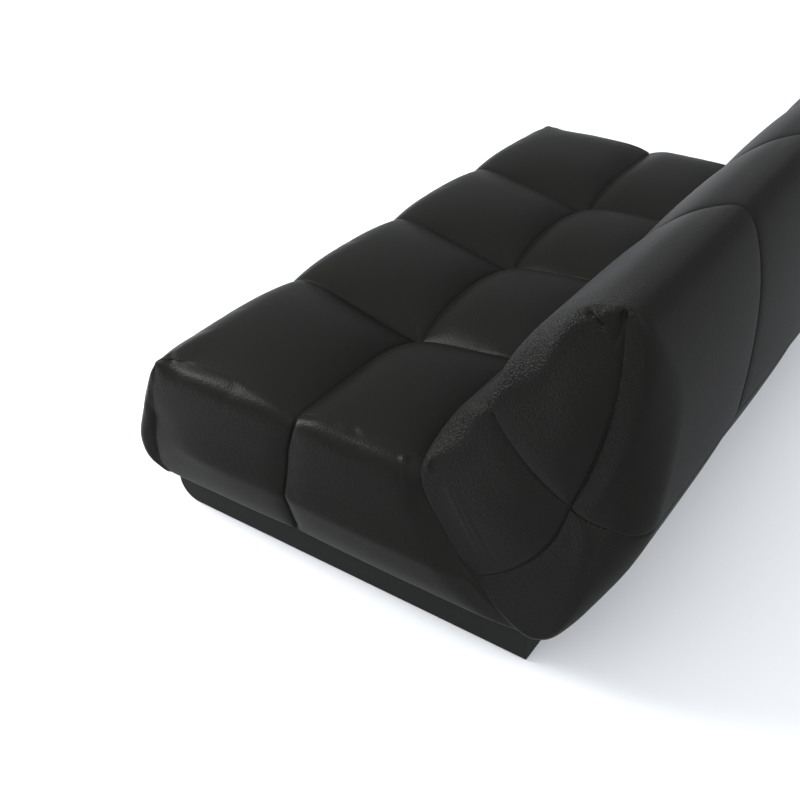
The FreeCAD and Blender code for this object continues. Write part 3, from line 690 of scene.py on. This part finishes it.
# Back cover: rings round the profile, which close over both ends to the middle of the end face
def back_loop():
    """The profile as one closed loop, and the numbers of the places where its stretches meet."""
    lower_last = len(BACK_LOWER) - 1
    upper_last = len(BACK_UPPER) - 1
    foot_last = len(BACK_FOOT) - 1
    slant_last = len(SLANT) - 1
    lower_length = curve_length(BACK_LOWER, 0, lower_last)
    ridge_length = curve_length(BACK_UPPER, 0, RIDGE_KNOT)
    rear_length = curve_length(BACK_UPPER, RIDGE_KNOT, upper_last)
    foot_length = curve_length(BACK_FOOT, 0, foot_last)
    slant_length = curve_length(SLANT, 0, slant_last)
    below = 1 - SLANT_SEAM_SHARE
    low_share = stations(slant_length * below, False, True) * below
    high_share = below + stations(slant_length * SLANT_SEAM_SHARE, True, False) * SLANT_SEAM_SHARE
    stretches = [
        spline(BACK_LOWER, 0, lower_last, stations(lower_length, False, True)),
        spline(BACK_UPPER, 0, RIDGE_KNOT, stations(ridge_length, True, True, RIDGE_STEPS)),
        spline(BACK_UPPER, RIDGE_KNOT, upper_last, stations(rear_length, True, True)),
        spline(BACK_FOOT, 0, foot_last, stations(foot_length, True, False)),
        spline(SLANT, 0, slant_last, 1 - low_share),
        spline(SLANT, 0, slant_last, 1 - high_share),
    ]
    counts = np.cumsum([len(stretch) - 1 for stretch in stretches])
    marks = dict(zip(("crease", "ridge", "rear", "heel", "foot"), counts), junction=0)
    return joined(stretches)[:-1], marks


class BackProfile:
    """The back's closed profile and what changes along it."""

    def __init__(self):
        self.loop, marks = back_loop()
        closed = running_length(np.concatenate([self.loop, self.loop[:1]]))
        self.length = closed[:-1]
        self.total = closed[-1]
        self.at = {name: self.length[index] for name, index in marks.items()}
        spokes = BACK_CENTRE - self.loop
        self.inwards = spokes / np.linalg.norm(spokes, axis=1)[:, None]
        self.under = self.at["rear"] + (self.at["heel"] - self.at["rear"]) * UNDER_SHARE
        self.seams = [self.at[name] for name in ("crease", "ridge", "rear", "foot")]
        self.radius = self.along(self.edge_places(), EDGE_RADII)
        self.pinch = self.along(self.edge_places(), EDGE_PINCHES)
        self.bow = self.along([*self.seams, self.under, self.at["junction"]], SEAM_BOWS)
        self.swell = self.cap_swell()
        self.long_gap = np.minimum(self.seam_gap("crease"), self.seam_gap("rear"))
        self.cap_gap = np.minimum(self.seam_gap("ridge"), self.seam_gap("foot"))
        self.covered = self.length <= self.at["heel"]

    def edge_places(self):
        """Places of the edge's radii and pinches: the seams and the lobes between them."""
        at = self.at
        lower = (at["junction"] + at["crease"]) / 2
        upper = (at["crease"] + at["ridge"]) / 2
        before_ridge = at["ridge"] - RIDGE_LEAD
        rear = (at["ridge"] + at["rear"]) / 2
        return [at["junction"], lower, at["crease"], upper, before_ridge, at["ridge"], rear, at["rear"],
                self.under, at["heel"], at["foot"]]

    def along(self, places, values):
        """Smooth values along the closed loop from those at a few places."""
        order = np.argsort(places)
        places = np.array(places)[order]
        values = np.array(values)[order]
        places = np.concatenate([[places[-1] - self.total], places, [places[0] + self.total]])
        values = np.concatenate([[values[-1]], values, [values[0]]])
        index = np.clip(np.searchsorted(places, self.length, side="right") - 1, 0, len(places) - 2)
        t = smooth(self.length, places[index], places[index + 1])
        return values[index] * (1 - t) + values[index + 1] * t

    def cap_swell(self):
        """Swell of the end face: fullest halfway from each seam to the next."""
        first = self.seams[0]
        bounds = np.array([*self.seams, first + self.total])
        wrapped = np.where(self.length < first, self.length + self.total, self.length)
        sector = np.clip(np.searchsorted(bounds, wrapped, side="right") - 1, 0, len(self.seams) - 1)
        share = (wrapped - bounds[sector]) / (bounds[sector + 1] - bounds[sector])
        return np.array(list(CAP_SWELLS.values()))[sector] * (1 - np.abs(2 * share - 1) ** CAP_FULLNESS)

    def seam_gap(self, name):
        """Distance of each place from a seam, along the loop."""
        gap = np.abs(self.length - self.at[name])
        return np.minimum(gap, self.total - gap)


def long_rings(profile):
    """Rings along the length, pulled in at the column seams, and their distances from the seams."""
    rings = []
    gaps = []
    for x in column_places(BACK_INNER_X, False):
        if abs(x) > PITCH:
            pull = max(1 - 2 * (abs(x) - PITCH) / PITCH, 0) ** BACK_PILLOW
        else:
            pull = abs(2 * (abs(x) % PITCH) / PITCH - 1) ** BACK_PILLOW
        ring = profile.loop + profile.inwards * (profile.pinch * pull)[:, None]
        rings.append(np.column_stack([np.full(len(ring), x), ring]))
        column_gap = np.where(profile.covered, seam_distance(x), FAR)
        gaps.append(np.minimum(profile.long_gap, column_gap))
    return rings, gaps


def cap_ring(profile, side, rho):
    """A ring across the end face, at a share of the way out from its middle."""
    spoke = profile.loop + profile.inwards * profile.radius[:, None] - BACK_CENTRE
    across = np.column_stack([-spoke[:, 1], spoke[:, 0]]) / np.linalg.norm(spoke, axis=1)[:, None]
    place = BACK_CENTRE + spoke * rho + across * (profile.bow * 4 * rho * (1 - rho))[:, None]
    swell = profile.swell * 16 * (rho * (1 - rho)) ** 2
    x = BACK_END_X + swell - CAP_DIMPLE * (1 - rho) ** 4
    return np.column_stack([side * x, place])


def end_rings(profile, side):
    """Rings over the rounded end and across the end face, and their distances from the seams."""
    rings = []
    gaps = []
    for part in LEAD_PARTS:
        x = BACK_INNER_X * (1 - part) + (BACK_END_X - profile.radius) * part
        rings.append(np.column_stack([side * x, profile.loop]))
        gaps.append(profile.long_gap)
    for turn in np.linspace(0, 1, ROUND_STEPS + 1):
        angle = turn * math.pi / 2
        inset = profile.radius * (1 - math.cos(angle))
        x = BACK_END_X - profile.radius * (1 - math.sin(angle))
        rings.append(np.column_stack([side * x, profile.loop + profile.inwards * inset[:, None]]))
        faint = FAINT_GAP * (1 - smooth(turn, 0.0, CAP_SEAM_BY))
        gaps.append(np.minimum(profile.long_gap, profile.cap_gap + faint))
    for ring in range(1, CAP_RINGS):
        rho = 1 - ring / CAP_RINGS
        rings.append(cap_ring(profile, side, rho))
        gaps.append(np.minimum(profile.long_gap, profile.cap_gap) * rho)
    return rings, gaps


def ring_faces(count, around):
    """Quads between neighbouring rings, and triangles from the outermost rings to the poles."""
    ids = np.arange(count * around).reshape(count, around)
    ids = np.column_stack([ids, ids[:, 0]])
    faces = grid_faces(ids, False)
    left_pole = count * around
    right_pole = left_pole + 1
    first = ids[0].tolist()
    last = ids[-1].tolist()
    for a, b in zip(first, first[1:]):
        faces.append([left_pole, a, b])
    for a, b in zip(last, last[1:]):
        faces.append([b, a, right_pole])
    return faces


def build_back():
    """The back's cover, and how firmly each vertex is held while it is inflated."""
    profile = BackProfile()
    left, left_gaps = end_rings(profile, -1.0)
    middle, middle_gaps = long_rings(profile)
    right, right_gaps = end_rings(profile, 1.0)
    rings = left[::-1] + middle + right
    pole_x = BACK_END_X - POLE_INSET
    poles = [[-pole_x, *BACK_CENTRE], [pole_x, *BACK_CENTRE]]
    points = np.concatenate([*rings, poles])
    points[:, 1] += ROW_SEAM_Y
    piece = make_mesh("back_cover", points, ring_faces(len(rings), len(profile.loop)))
    gaps = np.concatenate([*left_gaps[::-1], *middle_gaps, *right_gaps, [0.0, 0.0]])
    depths = groove(gaps, BACK_SHOULDER)
    depths[-len(poles):] = GROOVE_DEPTH
    push(piece, -depths)
    hidden = np.concatenate([np.tile(~profile.covered, len(rings)), [True, True]])
    return piece, np.where(hidden, 1.0, np.exp(-(gaps / HELD_WIDTH) ** 2))


# Materials
def new_material(name):
    material = bpy.data.materials.new(name)
    material.use_nodes = True
    tree = material.node_tree
    return material, tree, tree.nodes["Principled BSDF"]


def map_range(tree, value, reach, low, high, rise="SMOOTHSTEP"):
    """A rise from low to high while a value goes through its reach."""
    node = tree.nodes.new("ShaderNodeMapRange")
    node.interpolation_type = rise
    node.inputs["From Min"].default_value = reach[0]
    node.inputs["From Max"].default_value = reach[1]
    node.inputs["To Min"].default_value = low
    node.inputs["To Max"].default_value = high
    tree.links.new(value, node.inputs["Value"])
    return node.outputs["Result"]


def combine(tree, operation, first, second):
    """The sum, product or the like of two values."""
    node = tree.nodes.new("ShaderNodeMath")
    node.operation = operation
    tree.links.new(first, node.inputs[0])
    tree.links.new(second, node.inputs[1])
    return node.outputs[0]


def adjust(tree, operation, value, amount):
    """The sum, product or the like of a value and a fixed amount."""
    node = tree.nodes.new("ShaderNodeMath")
    node.operation = operation
    node.inputs[1].default_value = amount
    tree.links.new(value, node.inputs[0])
    return node.outputs[0]


def facing(tree, vector, direction):
    """The share of a vector that lies along a direction."""
    product = tree.nodes.new("ShaderNodeVectorMath")
    product.operation = "DOT_PRODUCT"
    product.inputs[1].default_value = direction
    tree.links.new(vector, product.inputs[0])
    return product.outputs["Value"]


def either_end(tree, vector, direction):
    """The larger of a vector's shares along a direction and along its mirror image."""
    mirrored = (-direction[0], *direction[1:])
    return combine(tree, "MAXIMUM", facing(tree, vector, direction), facing(tree, vector, mirrored))


def stretched(tree, scale):
    """Places on a surface, scaled along each axis."""
    where = tree.nodes.new("ShaderNodeTexCoord")
    mapping = tree.nodes.new("ShaderNodeMapping")
    mapping.inputs["Scale"].default_value = scale
    tree.links.new(where.outputs["Object"], mapping.inputs["Vector"])
    return mapping.outputs["Vector"]


def grain_height(tree):
    """Relief of the grain: small cells and finer folds."""
    places = stretched(tree, GRAIN_STRETCH)
    cells = tree.nodes.new("ShaderNodeTexVoronoi")
    cells.feature = "SMOOTH_F1"
    cells.inputs["Scale"].default_value = GRAIN_CELLS
    tree.links.new(places, cells.inputs["Vector"])
    folds = tree.nodes.new("ShaderNodeTexNoise")
    folds.inputs["Scale"].default_value = GRAIN_FOLDS
    folds.inputs["Detail"].default_value = GRAIN_DETAIL
    tree.links.new(places, folds.inputs["Vector"])
    return combine(tree, "ADD", cells.outputs["Distance"], folds.outputs["Fac"])


def grain_strength(tree, where):
    """How marked the grain is: most on the back's ends and their upper edges, little on the tops."""
    normal = where.outputs["Normal"]
    place = where.outputs["Object"]
    turned = map_range(tree, either_end(tree, normal, GRAIN_TOWARDS), GRAIN_TURNED, 0.0, GRAIN_END)
    outer = map_range(tree, either_end(tree, place, X_AXIS), GRAIN_OUTER_X, 0.0, 1.0)
    back = map_range(tree, facing(tree, place, Y_AXIS), GRAIN_BACK_Y, GRAIN_SEAT_SHARE, 1.0)
    sideways = either_end(tree, normal, X_AXIS)
    flat = map_range(tree, sideways, GRAIN_FLAT, GRAIN_SEAT_SHARE, GRAIN_FLAT_SHARE)
    raised = map_range(tree, facing(tree, place, Z_AXIS), GRAIN_RAISED_Z, GRAIN_LOW_SHARE, 1.0)
    share = combine(tree, "MULTIPLY", combine(tree, "MAXIMUM", back, flat), raised)
    marked = combine(tree, "MULTIPLY", combine(tree, "MULTIPLY", turned, share), outer)
    return adjust(tree, "ADD", marked, GRAIN_TOP)


def leather_roughness(tree, where):
    """Duller behind, glossier at the ends."""
    normal = where.outputs["Normal"]
    behind = facing(tree, normal, Y_AXIS)
    aside = either_end(tree, normal, X_AXIS)
    dull = map_range(tree, behind, DULL_TURN, SHEEN_ROUGHNESS, REAR_ROUGHNESS)
    return combine(tree, "SUBTRACT", dull, map_range(tree, aside, GLOSS_TURN, 0.0, END_GLOSS))


def leather_material():
    material, tree, shader = new_material("black_leather")
    where = tree.nodes.new("ShaderNodeTexCoord")
    bump = tree.nodes.new("ShaderNodeBump")
    bump.inputs["Distance"].default_value = GRAIN_DEPTH
    tree.links.new(grain_strength(tree, where), bump.inputs["Strength"])
    tree.links.new(grain_height(tree), bump.inputs["Height"])
    tree.links.new(bump.outputs["Normal"], shader.inputs["Normal"])
    tree.links.new(leather_roughness(tree, where), shader.inputs["Roughness"])
    shader.inputs["Base Color"].default_value = LEATHER_COLOUR
    shader.inputs["Specular IOR Level"].default_value = LEATHER_SPECULAR
    return material


def speckle(tree, scale, detail):
    noise = tree.nodes.new("ShaderNodeTexNoise")
    noise.inputs["Scale"].default_value = 1.0
    noise.inputs["Detail"].default_value = detail
    tree.links.new(stretched(tree, scale), noise.inputs["Vector"])
    return noise.outputs["Fac"]


def weave(tree, scale):
    """Threads that cross over and under each other."""
    waves = []
    for direction in ("X", "Y"):
        wave = tree.nodes.new("ShaderNodeTexWave")
        wave.bands_direction = direction
        wave.inputs["Scale"].default_value = scale
        wave.inputs["Distortion"].default_value = WEAVE_DISTORTION
        tree.links.new(stretched(tree, (1.0, 1.0, 1.0)), wave.inputs["Vector"])
        waves.append(wave.outputs["Fac"])
    return combine(tree, "MULTIPLY", *waves)


def surface(name, pattern, colour, spread, roughness, relief, gloss, metal=0.0):
    """A material whose colour and relief follow a pattern: a function that adds its nodes to a tree."""
    material, tree, shader = new_material(name)
    value = pattern(tree)
    ramp = tree.nodes.new("ShaderNodeValToRGB")
    for element, place, change in zip(ramp.color_ramp.elements, RAMP_PLACES, (1 - spread, 1 + spread)):
        element.position = place
        element.color = (*[part * change for part in colour], 1)
    tree.links.new(value, ramp.inputs["Fac"])
    tree.links.new(ramp.outputs["Color"], shader.inputs["Base Color"])
    bump = tree.nodes.new("ShaderNodeBump")
    bump.inputs["Strength"].default_value = relief
    bump.inputs["Distance"].default_value = RELIEF_DEPTH
    tree.links.new(value, bump.inputs["Height"])
    tree.links.new(bump.outputs["Normal"], shader.inputs["Normal"])
    shader.inputs["Roughness"].default_value = roughness
    shader.inputs["Specular IOR Level"].default_value = gloss
    shader.inputs["Metallic"].default_value = metal
    return material


def sawn_wood():
    grain = partial(speckle, scale=(4.0, 60.0, 60.0), detail=6.0)
    return surface("sawn_wood", grain, (0.62, 0.46, 0.30), spread=0.22, roughness=0.70, relief=0.20,
                   gloss=0.35)


def hardboard():
    fibres = partial(speckle, scale=(90.0, 90.0, 90.0), detail=8.0)
    return surface("hardboard", fibres, (0.36, 0.25, 0.16), spread=0.20, roughness=0.80, relief=0.15,
                   gloss=0.30)


def woven_webbing():
    threads = partial(weave, scale=120.0)
    return surface("woven_webbing", threads, (0.12, 0.11, 0.10), spread=0.50, roughness=0.85, relief=0.60,
                   gloss=0.25)


def zinc_plating():
    brushing = partial(speckle, scale=(300.0, 300.0, 60.0), detail=3.0)
    return surface("zinc_plating", brushing, (0.62, 0.63, 0.65), spread=0.08, roughness=0.35, relief=0.05,
                   gloss=0.50, metal=1.0)


def nonwoven_cloth():
    felt = partial(speckle, scale=(500.0, 500.0, 500.0), detail=6.0)
    return surface("nonwoven_cloth", felt, (0.030, 0.030, 0.030), spread=0.40, roughness=0.95, relief=0.40,
                   gloss=0.15)


def moulded_plastic():
    texture = partial(speckle, scale=(220.0, 220.0, 220.0), detail=3.0)
    return surface("moulded_plastic", texture, (0.030, 0.030, 0.030), spread=0.15, roughness=0.55,
                   relief=0.10, gloss=0.40)


def matt_coating():
    brushing = partial(speckle, scale=(40.0, 160.0, 160.0), detail=5.0)
    return surface("matt_coating", brushing, (0.0048, 0.0049, 0.0046), spread=0.20, roughness=0.70,
                   relief=0.08, gloss=0.12)


def solid_materials():
    """Finishes of the solids that stay, by the slot that they stand for."""
    return {
        "frame_wood": sawn_wood(),
        "fibreboard": hardboard(),
        "webbing": woven_webbing(),
        "zinc_steel": zinc_plating(),
        "lining_cloth": nonwoven_cloth(),
        "glide_plastic": moulded_plastic(),
        "plinth_lacquer": matt_coating(),
    }


# Stage
def build_stage():
    """A wide pale floor."""
    corners = [(-FLOOR_REACH, -FLOOR_REACH, 0), (FLOOR_REACH, -FLOOR_REACH, 0),
               (FLOOR_REACH, FLOOR_REACH, 0), (-FLOOR_REACH, FLOOR_REACH, 0)]
    mesh = bpy.data.meshes.new("floor")
    mesh.from_pydata(corners, [], [(0, 1, 2, 3)])
    floor = bpy.data.objects.new("floor", mesh)
    bpy.context.scene.collection.objects.link(floor)
    material, _, shader = new_material("floor_white")
    shader.inputs["Base Color"].default_value = FLOOR_COLOUR
    shader.inputs["Roughness"].default_value = FLOOR_ROUGHNESS
    mesh.materials.append(material)


def build_lamp(name, power, size, place):
    """A round soft lamp that faces the sofa."""
    data = bpy.data.lights.new(name, "AREA")
    data.shape = "DISK"
    data.size = size
    data.energy = power
    lamp = bpy.data.objects.new(name, data)
    lamp.location = place
    lamp.rotation_euler = (Vector(LAMP_TARGET) - place).to_track_quat("-Z", "Y").to_euler()
    bpy.context.scene.collection.objects.link(lamp)


def build_dome():
    """A pale dome, brighter overhead and behind the near end."""
    world = bpy.data.worlds.new("studio")
    bpy.context.scene.world = world
    world.use_nodes = True
    tree = world.node_tree
    towards = tree.nodes.new("ShaderNodeTexCoord").outputs["Generated"]
    above = adjust(tree, "MAXIMUM", facing(tree, towards, Z_AXIS), 0.0)
    rise = adjust(tree, "POWER", above, DOME_POWER)
    height = map_range(tree, rise, (0.0, 1.0), DOME_HORIZON, DOME_ZENITH, "LINEAR")
    glow = map_range(tree, facing(tree, towards, SIDE_FROM), (0.0, 1.0), 0.0, SIDE_GLOW, "LINEAR")
    background = tree.nodes["Background"]
    background.inputs["Color"].default_value = DOME_COLOUR
    tree.links.new(combine(tree, "ADD", height, glow), background.inputs["Strength"])


def build_light():
    """The dome, and two soft lamps in front of the near end."""
    build_dome()
    build_lamp("key", KEY_POWER, KEY_SIZE, Vector(KEY_FROM) * LAMP_DISTANCE)
    build_lamp("fill", FILL_POWER, FILL_SIZE, Vector(FILL_FROM) * LAMP_DISTANCE)


def build_camera():
    """The photograph's camera, behind the near end."""
    data = bpy.data.cameras.new("camera")
    data.lens = CAMERA_LENS
    data.sensor_width = CAMERA_SENSOR
    camera = bpy.data.objects.new("camera", data)
    forward = Vector(CAMERA_TOWARDS).normalized()
    right = forward.cross(Vector(Z_AXIS)).normalized()
    up = right.cross(forward)
    turn = Matrix((right, up, -forward)).transposed().to_4x4()
    place = Vector(CAMERA_PLACE) + Vector((0.0, ROW_SEAM_Y, 0.0))
    camera.matrix_world = Matrix.Translation(place) @ turn
    bpy.context.scene.collection.objects.link(camera)
    bpy.context.scene.camera = camera


# Pieces
def build_covers():
    """Both covers, inflated, refined and wrinkled."""
    seat, seat_held = build_seat()
    back, back_held = build_back()
    inflate(seat, seat_held)
    inflate(back, back_held)
    refine(seat)
    refine(back)
    wrinkle(seat, both_ends(SEAT_WRINKLES) + crossing_wrinkles())
    wrinkle(back, both_ends(BACK_WRINKLES))
    return seat, back


def finish_solids():
    """Gives the solids that stay their finishes."""
    finishes = solid_materials()
    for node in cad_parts.values():
        for place in node.material_slots:
            if place.material.name in finishes:
                place.material = finishes[place.material.name]


bpy.context.scene.view_settings.view_transform = "Standard"
build_stage()
build_light()
build_camera()

leather = leather_material()
seat, back = build_covers()
for cover in (seat, back):
    cover.data.materials.append(leather)
    cover.data.shade_smooth()
    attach(cover, "root")
seat_nodes = [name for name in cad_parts
              if name.startswith("seat_panel") or (name.startswith("seat_") and "foam" in name)]
back_nodes = [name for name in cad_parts
              if name.startswith(("back_panel", "rear_panel", "back_foam", "rear_foam"))]
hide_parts(*seat_nodes)
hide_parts(*back_nodes)
finish_solids()
